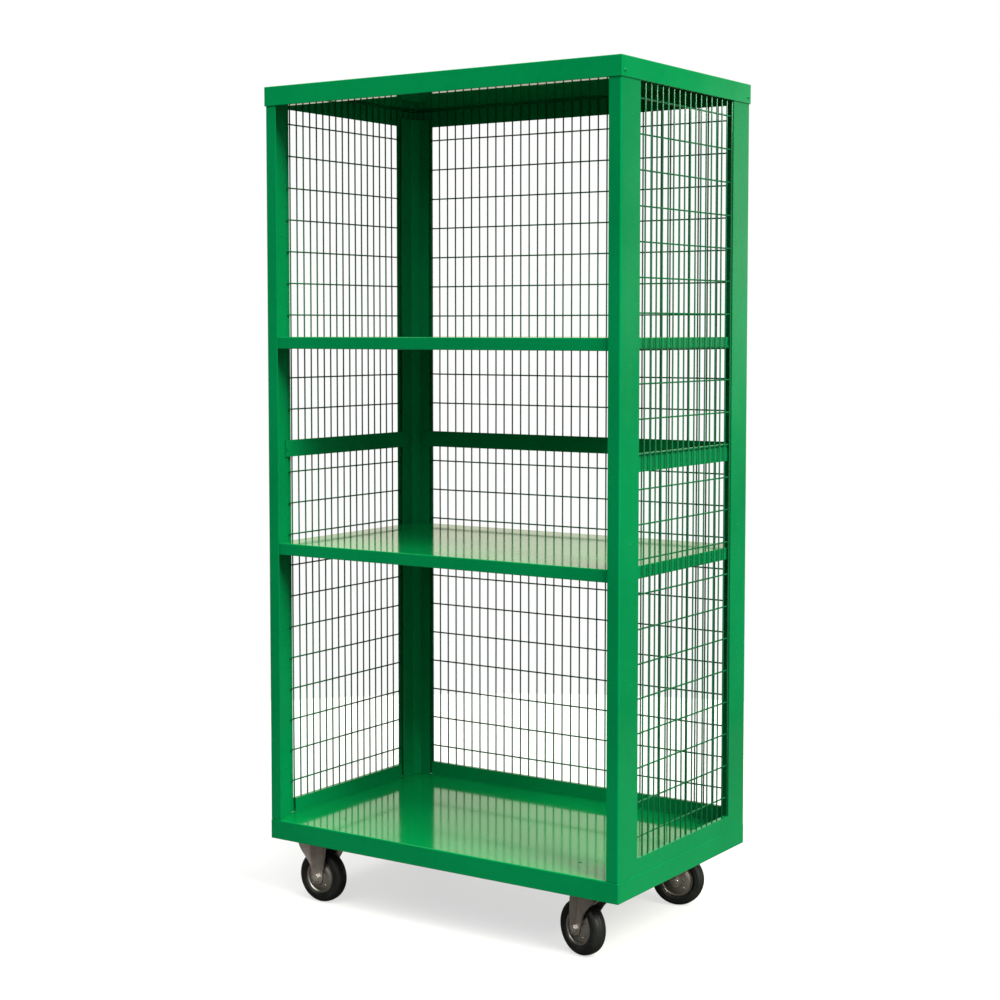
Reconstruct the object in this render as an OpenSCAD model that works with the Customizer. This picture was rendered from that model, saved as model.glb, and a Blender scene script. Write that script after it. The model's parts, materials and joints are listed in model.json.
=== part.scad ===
// Mobile wire-mesh shelf cart: folded sheet-steel cage, open at the front,
// two fixed shelves, welded mesh on the ends and the back, two rigid and two
// swivel casters.  Origin: middle of the footprint on the floor.
// +X right, +Y towards the closed back, +Z up.  Millimetres.

/* [Cage] */
// Width over the corner posts
cart_w = 960; // [860:10:1100]
// Depth over the corner posts
cart_d = 590; // [560:10:700]
// Height of the cage, from the base's lower edge to the top cover
body_h = 1780; // [1700:10:1900]
// Depth of the skirt all round the top cover
top_skirt = 45; // [35:1:60]
// How far the top cover stands outside the posts on every side
top_overhang = 2; // [1.5:0.5:4]
// Height of the base tray, and of its deck above its lower edge
base_h = 46; // [40:1:60]
// Height of the kick rails above the deck
kick_h = 35; // [25:1:45]

/* [Posts] */
// Sheet thickness of the posts
post_t = 2; // [1.5:0.1:3]
// Width of each post's leg on the cart's sides
side_leg = 80; // [70:1:90]
// Width of each front post's leg on the front
front_leg = 30; // [26:1:40]
// Width of each rear post's leg on the back
rear_leg = 56; // [50:1:70]
// Length of the liner inside a front post, along the side
liner_front = 60; // [54:1:70]
// Length of the liner inside a rear post, along the side
liner_side = 72; // [60:1:76]
// Length of the liner inside a rear post, along the back
liner_rear = 50; // [48:1:54]

/* [Shelves and rails] */
// Top of the lower shelf above the base's lower edge
shelf_low = 711; // [600:1:730]
// Top of the upper shelf above the base's lower edge
shelf_high = 1198; // [1180:1:1230]
// Depth of the shelves' turned-down lips
shelf_lip = 28; // [24:1:36]
// Middle height of the three mid rails above the base's lower edge
mid_z = 932; // [900:1:980]
// Height of the mid rails
mid_h = 40; // [30:1:50]

/* [Wire mesh] */
// Wire diameter
wire_d = 3; // [2.5:0.1:3]
// Pitch of the upright wires
pitch_x = 25; // [25:1:25]
// Pitch of the level wires
pitch_z = 75; // [75:1:75]

/* [Casters] */
// Height of a caster from the floor to its plate
caster_h = 152; // [150:1:160]
// Wheel diameter
wheel_d = 125; // [120:1:126]
// Tyre width
tyre_w = 38; // [32:1:40]
// Distance of the rigid casters' middle from the cart's middle
rigid_x = 373; // [340:1:390]
// Distance of the swivel casters' pin from the cart's middle
swivel_x = 383; // [340:1:390]
// Distance of all caster plates' middle from the cart's middle line
caster_y = 229; // [200:1:232]
// Offset of a swivel wheel behind its pin
trail = 38; // [32:1:40]
// Angle of the front swivel caster at rest
front_turn = -17; // [-30:1:30]
// Angle of the rear swivel caster at rest
rear_turn = 15; // [-30:1:30]

/* [Hidden] */
$fn = 48;

paint = "#00824a";
paint_dark = "#00693c";
zinc = "#9a9080";
steel = "#b8b8b4";
rubber = "#151a16";

hw = cart_w / 2;
hd = cart_d / 2;
z0 = caster_h;
z_top = z0 + body_h;
z_deck = z0 + base_h;
z_kick = z_deck + kick_h;
z_skirt = z_top - top_skirt;
skin = 1.5;                              // sheet of the cover, shelves, liners
wire_r = wire_d / 2;
up_wire = post_t + wire_r;               // upright wires' middle, from outside
lv_wire = post_t + wire_d + wire_r;      // level wires' middle, from outside
lin_out = post_t + 2 * wire_d + 0.5;     // liner's outer face, from outside
lin_in = lin_out + skin;                 // liner's inner face, from outside
slant_x = 12;                            // slanted face in a rear liner's corner
slant_y = 22;
mid_t = 4;                               // mid rail bar
axle_z = wheel_d / 2;
plate_t = 3.5;
z_plate = z0 - plate_t;                  // underside of the caster plates
bolt_x = 40;
bolt_y = 30;
leg_in = 23;                             // inner face of a fork leg
leg_t = 3;
z_crown = z_plate - 7.3;                 // top of a swivel crown
// Levels of the post rivets, above the base's lower edge
rivet_z = [for (k = [1, 5, 9, 14, 18, 21]) 50 + (k + 0.5) * pitch_z];
n_level = floor((body_h - top_skirt - 50) / pitch_z);
n_rear = floor((hw - 20) / pitch_x);

// ---------------------------------------------------------------- helpers

// L section in plan: corner at the origin, legs along +X and +Y
module angle2d(a, b, t, r) {
  translate([r, 0]) square([a - r, t]);
  translate([0, r]) square([t, b - r]);
  intersection() {
    square([r, r]);
    translate([r, r]) difference() { circle(r); circle(r - t); }
  }
}

// Moves a shape drawn for the front left corner to any corner
module corner(sx, sy) {
  mirror([sx > 0 ? 1 : 0, 0, 0]) mirror([0, sy > 0 ? 1 : 0, 0])
    translate([-hw, -hd, 0]) children();
}

// Round hole through a wall that faces X, at (y, z)
module hole_x(x, y, z, r, l) {
  translate([x - l / 2, y, z]) rotate([0, 90, 0]) cylinder(r = r, h = l, $fn = 24);
}

// Open tray of folded sheet: flat top at z1, lips down on four sides
module tray(x0, x1, y0, y1, z1, lip, t, flange) {
  difference() {
    translate([x0, y0, z1 - lip]) cube([x1 - x0, y1 - y0, lip]);
    translate([x0 + t, y0 + t, z1 - lip + t])
      cube([x1 - x0 - 2 * t, y1 - y0 - 2 * t, lip - 2 * t]);
    translate([x0 + t + flange, y0 + t + flange, z1 - lip - 1])
      cube([x1 - x0 - 2 * (t + flange), y1 - y0 - 2 * (t + flange), lip]);
  }
}

// ------------------------------------------------------------------ cage

// Outer post, front left corner
module post_front_body() {
  difference() {
    translate([0, 0, z_deck])
      linear_extrude(z_top - skin - z_deck) angle2d(front_leg, side_leg, post_t, 4);
    for (z = rivet_z) hole_x(0, 45, z0 + z, 2.5, 12);
    hole_x(0, 12, z_skirt + 14, 2.5, 12);
  }
}

// Outer post, rear corner, drawn as if at the front left
module post_rear_body() {
  difference() {
    translate([0, 0, z_deck])
      linear_extrude(z_top - skin - z_deck) angle2d(rear_leg, side_leg, post_t, 4);
    for (z = rivet_z) {
      hole_x(0, 45, z0 + z, 2.5, 12);
      translate([42.5, 0, z0 + z]) rotate([90, 0, 0])
        cylinder(r = 2.5, h = 12, center = true, $fn = 24);
    }
    hole_x(0, 12, z_skirt + 14, 2.5, 12);
  }
}

// Liner of a front post: holds the mesh against the post's side leg
module liner_front_body() {
  difference() {
    translate([0, 0, z_deck]) linear_extrude(z_skirt + 20 - z_deck) {
      translate([lin_out, post_t]) angle2d(front_leg - 2 - lin_out, liner_front - post_t, skin, 3);
    }
    for (z = rivet_z) hole_x(lin_out, 45, z0 + z, 2.5, 12);
    for (z = [shelf_low, shelf_high]) hole_x(lin_out, 45, z0 + z - shelf_lip / 2, 3.1, 12);
    hole_x(lin_out, 54, z0 + mid_z, 3.1, 12);
  }
}

// Liner of a rear post, with a narrow slanted face in its corner
module liner_rear_body() {
  difference() {
    translate([0, 0, z_deck]) linear_extrude(z_skirt + 20 - z_deck)
      polygon([
        [lin_out, liner_side], [lin_out, lin_out + slant_y], [lin_out + slant_x, lin_out],
        [liner_rear, lin_out], [liner_rear, lin_in],
        [lin_in + slant_x - 0.6, lin_in], [lin_in, lin_in + slant_y - 0.9], [lin_in, liner_side]]);
    for (z = rivet_z) {
      hole_x(lin_out, 45, z0 + z, 2.5, 12);
      translate([42.5, lin_out, z0 + z]) rotate([90, 0, 0])
        cylinder(r = 2.5, h = 12, center = true, $fn = 24);
    }
    for (z = [shelf_low, shelf_high]) hole_x(lin_out, 45, z0 + z - shelf_lip / 2, 3.1, 12);
    hole_x(lin_out, 54, z0 + mid_z, 3.1, 12);
    translate([42.5 - 6, lin_out, z0 + mid_z]) rotate([90, 0, 0])
      cylinder(r = 3.1, h = 12, center = true, $fn = 24);
  }
}

module post_front_left() { color(paint) corner(-1, -1) post_front_body(); }
module post_front_right() { color(paint) corner(1, -1) post_front_body(); }
module post_rear_left() { color(paint) corner(-1, 1) post_rear_body(); }
module post_rear_right() { color(paint) corner(1, 1) post_rear_body(); }
module liner_front_left() { color(paint_dark) corner(-1, -1) liner_front_body(); }
module liner_front_right() { color(paint_dark) corner(1, -1) liner_front_body(); }
module liner_rear_left() { color(paint_dark) corner(-1, 1) liner_rear_body(); }
module liner_rear_right() { color(paint_dark) corner(1, 1) liner_rear_body(); }

// Top cover: flat sheet, skirt all round, and a return flange under the
// front skirt between the posts
module top_cover() {
  ox = hw + top_overhang;
  oy = hd + top_overhang;
  color(paint) difference() {
    union() {
      difference() {
        translate([-ox, -oy, z_skirt]) cube([2 * ox, 2 * oy, top_skirt]);
        translate([-ox + skin, -oy + skin, z_skirt - 1])
          cube([2 * (ox - skin), 2 * (oy - skin), top_skirt - skin + 1]);
      }
      translate([-hw + front_leg + 4, -oy + skin - 0.1, z_skirt])
        cube([cart_w - 2 * front_leg - 8, 18, skin]);
    }
    for (s = [-1, 1], t = [-1, 1]) hole_x(s * ox, t * (hd - 12), z_skirt + 14, 2.8, 12);
  }
}

// Base tray: deck and four turned-down sides with a return flange
module base_tray() {
  color(paint) difference() {
    tray(-hw, hw, -hd, hd, z_deck, base_h, 2, 14);
    for (s = [-1, 1], t = [-1, 1])
      translate([s * 330, t * (hd - 93), z_deck - 6]) cylinder(r = 4, h = 12, $fn = 24);
  }
}

// Kick rail: an upturned channel that closes the foot of a mesh panel
module kick_rail_section(l) {
  difference() {
    translate([0, -l / 2, z_deck]) cube([lin_in, l, kick_h]);
    translate([post_t, -l / 2 - 1, z_deck - 1]) cube([lin_out - post_t, l + 2, kick_h + 1 - skin]);
  }
}
module kick_rail_left() {
  color(paint) translate([-hw, 0, 0]) kick_rail_section(cart_d - 2 * side_leg);
}
module kick_rail_right() {
  color(paint) mirror([1, 0, 0]) translate([-hw, 0, 0]) kick_rail_section(cart_d - 2 * side_leg);
}
module kick_rail_rear() {
  color(paint) translate([0, hd, 0]) rotate([0, 0, -90]) kick_rail_section(cart_w - 2 * rear_leg);
}

// Cross channel under the deck that takes the plates of two casters
module caster_channel(x) {
  w = 126;
  l = cart_d - 36;
  difference() {
    translate([x - w / 2, -l / 2, z0]) cube([w, l, base_h - 2]);
    translate([x - w / 2 + 2.5, -l / 2 - 1, z0 + 2.5]) cube([w - 5, l + 2, base_h]);
    for (t = [-1, 1]) translate([x, t * caster_y, z0 - 1]) {
      cylinder(r = 15, h = 6, $fn = 32);
      for (a = [-1, 1], b = [-1, 1])
        translate([a * bolt_x, b * bolt_y, 0]) cylinder(r = 4.5, h = 6, $fn = 24);
    }
  }
}
module caster_channel_left() { color(paint_dark) caster_channel(-rigid_x); }
module caster_channel_right() { color(paint_dark) caster_channel(swivel_x); }

// Clears the slanted face of a rear liner from a shelf's corner
module shelf_corner_cut(z) {
  dx = slant_x - 0.6;
  dy = slant_y - 0.9;
  translate([0, 0, z0 + z - shelf_lip - 2]) linear_extrude(shelf_lip + 4)
    polygon([[lin_in + 1.6 * dx + 0.5, lin_in - 0.6 * dy], [lin_in - 0.6 * dx + 0.5, lin_in + 1.6 * dy],
      [0, lin_in + 1.6 * dy], [0, lin_in - 0.6 * dy]]);
}

// Fixed shelf: folded tray that is bolted to the four liners
module shelf(z) {
  difference() {
    tray(-hw + lin_in, hw - lin_in, -hd + lin_in - 4, hd - lin_in - 1, z0 + z, shelf_lip, skin, 12);
    for (s = [-1, 1]) corner(s, 1) shelf_corner_cut(z);
    for (s = [-1, 1], t = [-1, 1])
      hole_x(s * (hw - lin_in - skin), t * (hd - 45), z0 + z - shelf_lip / 2, 3.1, 8);
  }
}
module lower_shelf() { color(paint) shelf(shelf_low); }
module upper_shelf() { color(paint) shelf(shelf_high); }

// Flat mid rails, bolted to the liners
module mid_bar_side() {
  l = cart_d - 2 * 49;
  difference() {
    translate([lin_in, -l / 2, z0 + mid_z - mid_h / 2]) cube([mid_t, l, mid_h]);
    for (t = [-1, 1]) hole_x(lin_in, t * (hd - 54), z0 + mid_z, 3.1, 14);
  }
}
module mid_rail_left() { color(paint) translate([-hw, 0, 0]) mid_bar_side(); }
module mid_rail_right() { color(paint) mirror([1, 0, 0]) translate([-hw, 0, 0]) mid_bar_side(); }
module mid_rail_rear() {
  l = cart_w - 2 * 30;
  color(paint) difference() {
    translate([-l / 2, hd - lin_in - mid_t, z0 + mid_z - mid_h / 2]) cube([l, mid_t, mid_h]);
    for (s = [-1, 1]) translate([s * (hw - 36.5), hd - lin_in, z0 + mid_z])
      rotate([90, 0, 0]) cylinder(r = 3.1, h = 14, center = true, $fn = 24);
  }
}

// ------------------------------------------------------------------ mesh

z_wire0 = z_kick + 0.02;
z_wire1 = z_top - skin - 2;
// Side mesh, drawn on the left: upright wires outside, level wires inside
module mesh_side() {
  n = floor((cart_d - 14) / pitch_x / 2);
  for (k = [-n : n - 1]) translate([up_wire, (k + 0.5) * pitch_x,
      abs((k + 0.5) * pitch_x) < hd - side_leg ? z_wire0 : z_deck + 1])
    cylinder(r = wire_r, h = z_wire1 - (abs((k + 0.5) * pitch_x) < hd - side_leg ? z_wire0 : z_deck + 1), $fn = 16);
  for (k = [1 : n_level + 1]) if (50 + k * pitch_z < body_h - 4)
    translate([lv_wire + 0.02, -hd + 4, z0 + 50 + k * pitch_z])
      rotate([-90, 0, 0]) cylinder(r = wire_r, h = cart_d - 4 - lv_wire - 2, $fn = 16);
}
module mesh_left() { color(paint_dark) translate([-hw, 0, 0]) mesh_side(); }
module mesh_right() { color(paint_dark) mirror([1, 0, 0]) translate([-hw, 0, 0]) mesh_side(); }
module mesh_rear() {
  color(paint_dark) {
    for (k = [-n_rear : n_rear]) translate([k * pitch_x, hd - up_wire,
        abs(k * pitch_x) < hw - rear_leg + 2 ? z_wire0 : z_deck + 1])
      cylinder(r = wire_r, h = z_wire1 - (abs(k * pitch_x) < hw - rear_leg + 2 ? z_wire0 : z_deck + 1), $fn = 16);
    for (k = [1 : n_level + 1]) if (50 + k * pitch_z < body_h - 4)
      translate([-hw + lin_out + 1, hd - lv_wire - 0.02, z0 + 50 + k * pitch_z])
        rotate([0, 90, 0]) cylinder(r = wire_r, h = cart_w - 2 * (lin_out + 1), $fn = 16);
  }
}

// ------------------------------------------------------------- fasteners

// Rivet along +X: flat head at x = 0, formed end past the liner
module rivet() {
  rotate([0, 90, 0]) {
    translate([0, 0, -1.2]) cylinder(r = 4, h = 1.2, $fn = 24);
    translate([0, 0, -0.1]) cylinder(r = 2.4, h = lin_in + 0.2, $fn = 24);
    translate([0, 0, lin_in]) cylinder(r = 3.6, h = 1.4, $fn = 24);
  }
}
module post_rivets() {
  color(paint) for (z = rivet_z) {
    for (s = [-1, 1], t = [-1, 1])
      corner(s, t) translate([0, 45, z0 + z]) rivet();
    for (s = [-1, 1])
      corner(s, 1) translate([42.5, 0, z0 + z]) rotate([0, 0, 90]) rivet();
  }
}

// Self-tapping screws that hold the top cover to the posts
module cover_screws() {
  color(paint) for (s = [-1, 1], t = [-1, 1]) corner(s, t)
    translate([-top_overhang, 12, z_skirt + 14]) rotate([0, 90, 0]) {
      translate([0, 0, -2]) cylinder(r = 4, h = 2, $fn = 24);
      translate([0, 0, -0.1]) cylinder(r = 2.4, h = top_overhang + 5, $fn = 24);
    }
}

// Shelf bolts: head inside the lip, nut between liner and post
module shelf_bolts() {
  color(paint_dark) for (z = [shelf_low, shelf_high], s = [-1, 1], t = [-1, 1])
    corner(s, t) translate([0, 45, z0 + z - shelf_lip / 2]) rotate([0, 90, 0]) {
      translate([0, 0, lin_in + skin]) cylinder(r = 5.5, h = 4, $fn = 6);
      translate([0, 0, lin_out - 4]) cylinder(r = 3, h = lin_in + skin - lin_out + 4.1, $fn = 24);
      translate([0, 0, lin_out - 4]) cylinder(r = 5.2, h = 4, $fn = 6);
    }
}

module mid_rail_bolts() {
  color(paint_dark) for (s = [-1, 1], t = [-1, 1]) {
    corner(s, t) translate([0, 54, z0 + mid_z]) rotate([0, 90, 0]) {
      translate([0, 0, lin_in + mid_t]) cylinder(r = 5, h = 2.4, $fn = 24);
      translate([0, 0, lin_out - 3]) cylinder(r = 3, h = lin_in + mid_t - lin_out + 3.1, $fn = 24);
      translate([0, 0, lin_out - 3]) cylinder(r = 4.6, h = 3, $fn = 6);
    }
    if (t > 0) corner(s, t) translate([36.5, 0, z0 + mid_z]) rotate([-90, 0, 0]) {
      translate([0, 0, lin_in + mid_t]) cylinder(r = 5, h = 2.4, $fn = 24);
      translate([0, 0, lin_out - 3]) cylinder(r = 3, h = lin_in + mid_t - lin_out + 3.1, $fn = 24);
      translate([0, 0, lin_out - 3]) cylinder(r = 4.6, h = 3, $fn = 6);
    }
  }
}

module at_plates() {
  for (t = [-1, 1]) {
    translate([-rigid_x, t * caster_y, 0]) children();
    translate([swivel_x, t * caster_y, 0]) children();
  }
}
module caster_bolts() {
  color(steel) at_plates() for (a = [-1, 1], b = [-1, 1])
    translate([a * bolt_x, b * bolt_y, 0]) {
      translate([0, 0, z0 + 2.5]) cylinder(r = 7.5, h = 5.3, $fn = 6);
      translate([0, 0, z_plate - 6.4]) cylinder(r = 4, h = plate_t + 9, $fn = 24);
    }
}
module caster_nuts() {
  color(steel) at_plates() for (a = [-1, 1], b = [-1, 1])
    translate([a * bolt_x, b * bolt_y, z_plate - 6.4]) difference() {
      cylinder(r = 7.5, h = 6.4, $fn = 6);
      translate([0, 0, -1]) cylinder(r = 4.05, h = 9, $fn = 24);
    }
}

// --------------------------------------------------------------- casters

// Plate with rounded corners and four holes, underside at z_plate
module caster_plate(bore) {
  difference() {
    translate([0, 0, z_plate]) linear_extrude(plate_t) {
      square([105, 69], center = true);
      square([89, 85], center = true);
      for (a = [-1, 1], b = [-1, 1]) translate([a * 44.5, b * 34.5]) circle(8);
    }
    for (a = [-1, 1], b = [-1, 1])
      translate([a * bolt_x, b * bolt_y, z_plate - 1]) cylinder(r = 4.5, h = 6, $fn = 24);
    if (bore > 0) translate([0, 0, z_plate - 1]) cylinder(r = bore, h = 6);
  }
}

// Rigid bracket: plate, two upright legs and their splayed wings
module rigid_bracket(y) {
  color(zinc) translate([-rigid_x, y, 0]) {
    caster_plate(0);
    for (s = [-1, 1]) scale([1, s, 1]) {
      translate([0, -leg_in, 0]) rotate([90, 0, 0]) linear_extrude(leg_t) difference() {
        union() {
          polygon([[-24, z_plate + 0.5], [-20, 118], [-16, axle_z], [16, axle_z], [20, 118], [24, z_plate + 0.5]]);
          translate([0, axle_z]) circle(16);
        }
        translate([0, axle_z]) circle(5.1);
      }
      for (q = [-1, 1]) scale([q, 1, 1])
        translate([20, -leg_in - leg_t, 0]) rotate([0, 0, -46]) rotate([90, 0, 0])
          translate([0, 0, -leg_t]) linear_extrude(leg_t)
            polygon([[-1, 141], [27, 141], [13, 112], [-1, 84]]);
    }
  }
}

// Axle bolt along Y through a fork, head on the -Y side
module axle_bolt_body() {
  rotate([90, 0, 0]) {
    translate([0, 0, leg_in + leg_t]) cylinder(r = 9.2, h = 6.4, $fn = 6);
    translate([0, 0, -leg_in - leg_t - 10]) cylinder(r = 5, h = 2 * (leg_in + leg_t) + 10.1);
  }
}
module axle_nut_body() {
  rotate([-90, 0, 0]) translate([0, 0, leg_in + leg_t]) difference() {
    union() {
      cylinder(r = 9.2, h = 8, $fn = 6);
      cylinder(r = 10, h = 1.2);
    }
    translate([0, 0, -1]) cylinder(r = 5.05, h = 12);
  }
}
// Spacer tube that the wheel's bearing turns on
module sleeve_body() {
  rotate([90, 0, 0]) difference() {
    cylinder(r = 8, h = 2 * leg_in - 0.1, center = true);
    cylinder(r = 5.05, h = 60, center = true);
  }
}
module tyre_body() {
  w = tyre_w / 2;
  rotate([90, 0, 0]) rotate_extrude($fn = 96) {
    translate([37.5, -w]) square([wheel_d / 2 - 37.5 - 8, tyre_w]);
    translate([37.5, -w + 8]) square([wheel_d / 2 - 37.5, tyre_w - 16]);
    for (s = [-1, 1]) translate([wheel_d / 2 - 8, s * (w - 8)]) circle(8);
  }
}
// Hub: two pressed discs, a tube and a rim around a hollow
module hub_body() {
  rotate([90, 0, 0]) rotate_extrude($fn = 72) difference() {
    polygon([[15, -20], [18, -20], [34, -15], [37.5, -15], [37.5, 15], [34, 15], [18, 20], [15, 20]]);
    polygon([[17, -17.5], [18.4, -17.5], [33.6, -12.8], [35.5, -12.8], [35.5, 12.8], [33.6, 12.8], [18.4, 17.5], [17, 17.5]]);
  }
}
module bearing_body() {
  rotate([90, 0, 0]) difference() {
    cylinder(r = 15, h = 40, center = true);
    cylinder(r = 8.06, h = 60, center = true);
  }
}

// Places of the four wheels
module at_rigid(t) { translate([-rigid_x, t * caster_y, axle_z]) children(); }
module at_swivel(t) {
  translate([swivel_x, t * caster_y, 0]) rotate([0, 0, t < 0 ? front_turn : rear_turn]) children();
}
module at_swivel_wheel(t) { at_swivel(t) translate([-trail, 0, axle_z]) children(); }

// Fixed half of a swivel head: plate and dust ring
module swivel_plate(t) {
  color(zinc) translate([swivel_x, t * caster_y, 0]) {
    caster_plate(6.05);
    translate([0, 0, z_plate - 5.8]) difference() {
      cylinder(r = 37, h = 5.9);
      translate([0, 0, -1]) cylinder(r = 34.5, h = 8);
    }
  }
}
// Kingpin: head above the plate, nut below the crown
module kingpin(t) {
  color(steel) translate([swivel_x, t * caster_y, 0]) {
    translate([0, 0, z0]) cylinder(r = 11, h = 4);
    translate([0, 0, z_crown - 11]) cylinder(r = 6, h = z0 + 0.1 - z_crown + 11);
    translate([0, 0, z_crown - 11]) cylinder(r = 10.4, h = 7.6, $fn = 6);
  }
}
// Turning half: crown around the kingpin and two fork legs
module yoke(t) {
  top = z_crown - 1.7;
  color(zinc) at_swivel(t) {
    difference() {
      union() {
        translate([0, 0, z_crown - 3]) cylinder(r = 32.5, h = 3);
        translate([-46, -leg_in - 0.5, z_crown - 3]) cube([76, 2 * leg_in + 1, 1.3]);
      }
      translate([0, 0, z_crown - 5]) cylinder(r = 6.06, h = 8);
    }
    for (s = [-1, 1]) scale([1, s, 1]) translate([0, -leg_in, 0]) rotate([90, 0, 0])
      linear_extrude(leg_t) difference() {
        union() {
          polygon([[-trail - 15, axle_z], [-trail - 15, top - 12], [-trail - 12, top], [34, top],
            [34, top - 5], [16, top - 14], [2, top - 27], [-9, top - 43], [-trail + 15, axle_z]]);
          translate([-trail, axle_z]) circle(15);
        }
        translate([-trail, axle_z]) circle(5.1);
      }
  }
}
module race_balls(t) {
  color(steel) at_swivel(t) for (k = [0 : 15]) rotate([0, 0, k * 22.5])
    translate([24, 0, z_crown + 3.3]) sphere(r = 3.3, $fn = 24);
}

module rigid_bracket_front() { rigid_bracket(-caster_y); }
module rigid_bracket_rear() { rigid_bracket(caster_y); }
module rigid_axle_bolts() { color(steel) for (t = [-1, 1]) at_rigid(t) scale([1, -t, 1]) axle_bolt_body(); }
module rigid_axle_nuts() { color(steel) for (t = [-1, 1]) at_rigid(t) scale([1, -t, 1]) axle_nut_body(); }
module rigid_axle_sleeves() { color(steel) for (t = [-1, 1]) at_rigid(t) sleeve_body(); }
module tyre_front_left() { color(rubber) at_rigid(-1) tyre_body(); }
module hub_front_left() { color(zinc) at_rigid(-1) hub_body(); }
module bearing_front_left() { color(steel) at_rigid(-1) bearing_body(); }
module tyre_rear_left() { color(rubber) at_rigid(1) tyre_body(); }
module hub_rear_left() { color(zinc) at_rigid(1) hub_body(); }
module bearing_rear_left() { color(steel) at_rigid(1) bearing_body(); }
module swivel_plate_front() { swivel_plate(-1); }
module swivel_plate_rear() { swivel_plate(1); }
module kingpin_front() { kingpin(-1); }
module kingpin_rear() { kingpin(1); }
module yoke_front() { yoke(-1); }
module yoke_rear() { yoke(1); }
module race_balls_front() { race_balls(-1); }
module race_balls_rear() { race_balls(1); }
module axle_bolt_front_right() { color(steel) at_swivel_wheel(-1) axle_bolt_body(); }
module axle_nut_front_right() { color(steel) at_swivel_wheel(-1) axle_nut_body(); }
module axle_sleeve_front_right() { color(steel) at_swivel_wheel(-1) sleeve_body(); }
module axle_bolt_rear_right() { color(steel) at_swivel_wheel(1) axle_bolt_body(); }
module axle_nut_rear_right() { color(steel) at_swivel_wheel(1) axle_nut_body(); }
module axle_sleeve_rear_right() { color(steel) at_swivel_wheel(1) sleeve_body(); }
module tyre_front_right() { color(rubber) at_swivel_wheel(-1) tyre_body(); }
module hub_front_right() { color(zinc) at_swivel_wheel(-1) hub_body(); }
module bearing_front_right() { color(steel) at_swivel_wheel(-1) bearing_body(); }
module tyre_rear_right() { color(rubber) at_swivel_wheel(1) tyre_body(); }
module hub_rear_right() { color(zinc) at_swivel_wheel(1) hub_body(); }
module bearing_rear_right() { color(steel) at_swivel_wheel(1) bearing_body(); }

post_front_left();
post_front_right();
post_rear_left();
post_rear_right();
liner_front_left();
liner_front_right();
liner_rear_left();
liner_rear_right();
top_cover();
base_tray();
kick_rail_left();
kick_rail_right();
kick_rail_rear();
caster_channel_left();
caster_channel_right();
lower_shelf();
upper_shelf();
mid_rail_left();
mid_rail_right();
mid_rail_rear();
mesh_left();
mesh_right();
mesh_rear();
post_rivets();
cover_screws();
shelf_bolts();
mid_rail_bolts();
caster_bolts();
caster_nuts();
rigid_bracket_front();
rigid_bracket_rear();
rigid_axle_bolts();
rigid_axle_nuts();
rigid_axle_sleeves();
tyre_front_left();
hub_front_left();
bearing_front_left();
tyre_rear_left();
hub_rear_left();
bearing_rear_left();
swivel_plate_front();
swivel_plate_rear();
kingpin_front();
kingpin_rear();
yoke_front();
yoke_rear();
race_balls_front();
race_balls_rear();
axle_bolt_front_right();
axle_nut_front_right();
axle_sleeve_front_right();
axle_bolt_rear_right();
axle_nut_rear_right();
axle_sleeve_rear_right();
tyre_front_right();
hub_front_right();
bearing_front_right();
tyre_rear_right();
hub_rear_right();
bearing_rear_right();
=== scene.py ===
"""Wire shelf cart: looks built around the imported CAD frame. Metres, row frame."""
import json
import math
import random

import bmesh
import bpy
from mathutils import Matrix, Vector


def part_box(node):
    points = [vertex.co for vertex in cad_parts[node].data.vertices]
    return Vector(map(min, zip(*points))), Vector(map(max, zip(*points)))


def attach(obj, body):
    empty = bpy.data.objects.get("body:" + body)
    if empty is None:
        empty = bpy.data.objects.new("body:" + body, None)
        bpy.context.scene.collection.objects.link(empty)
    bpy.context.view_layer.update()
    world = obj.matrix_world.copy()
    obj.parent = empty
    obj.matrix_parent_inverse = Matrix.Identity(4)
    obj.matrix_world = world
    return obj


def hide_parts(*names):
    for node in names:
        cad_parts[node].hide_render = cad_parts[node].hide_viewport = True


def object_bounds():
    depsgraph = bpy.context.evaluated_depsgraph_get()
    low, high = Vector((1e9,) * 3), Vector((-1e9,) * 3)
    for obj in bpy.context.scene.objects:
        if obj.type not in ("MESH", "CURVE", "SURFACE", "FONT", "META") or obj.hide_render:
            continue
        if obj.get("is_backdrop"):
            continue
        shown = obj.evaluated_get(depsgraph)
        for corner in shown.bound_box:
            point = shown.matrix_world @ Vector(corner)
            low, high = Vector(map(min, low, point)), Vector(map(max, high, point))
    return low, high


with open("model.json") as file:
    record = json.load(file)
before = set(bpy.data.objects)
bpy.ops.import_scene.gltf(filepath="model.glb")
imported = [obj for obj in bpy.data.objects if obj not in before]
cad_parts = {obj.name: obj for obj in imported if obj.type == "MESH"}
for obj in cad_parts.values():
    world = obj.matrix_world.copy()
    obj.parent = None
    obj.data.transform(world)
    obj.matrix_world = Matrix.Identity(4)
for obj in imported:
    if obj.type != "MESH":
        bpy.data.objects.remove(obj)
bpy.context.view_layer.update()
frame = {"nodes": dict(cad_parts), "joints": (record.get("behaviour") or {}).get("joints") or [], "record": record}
scene = bpy.context.scene
rng = random.Random(7)
N = frame["nodes"]


# ------------------------------------------------------------------ camera
cam_data = bpy.data.cameras.new("camera")
cam = bpy.data.objects.new("camera", cam_data)
scene.collection.objects.link(cam)
cam_data.sensor_fit = "HORIZONTAL"
cam_data.sensor_width = 36.0
cam_data.lens = 67.909
cam_data.shift_y = -0.045
cam_data.clip_start, cam_data.clip_end = 0.05, 200
cam_data.dof.use_dof = False
cam.location = (2.44956, -3.69060, 1.36655)
cam.rotation_euler = (math.pi / 2 - 0.0663, 0, 0.58930)
scene.camera = cam
scene.view_settings.view_transform = "Standard"


# ------------------------------------------------------------------- stage
def link(tree, a, b):
    tree.links.new(a, b)


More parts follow.
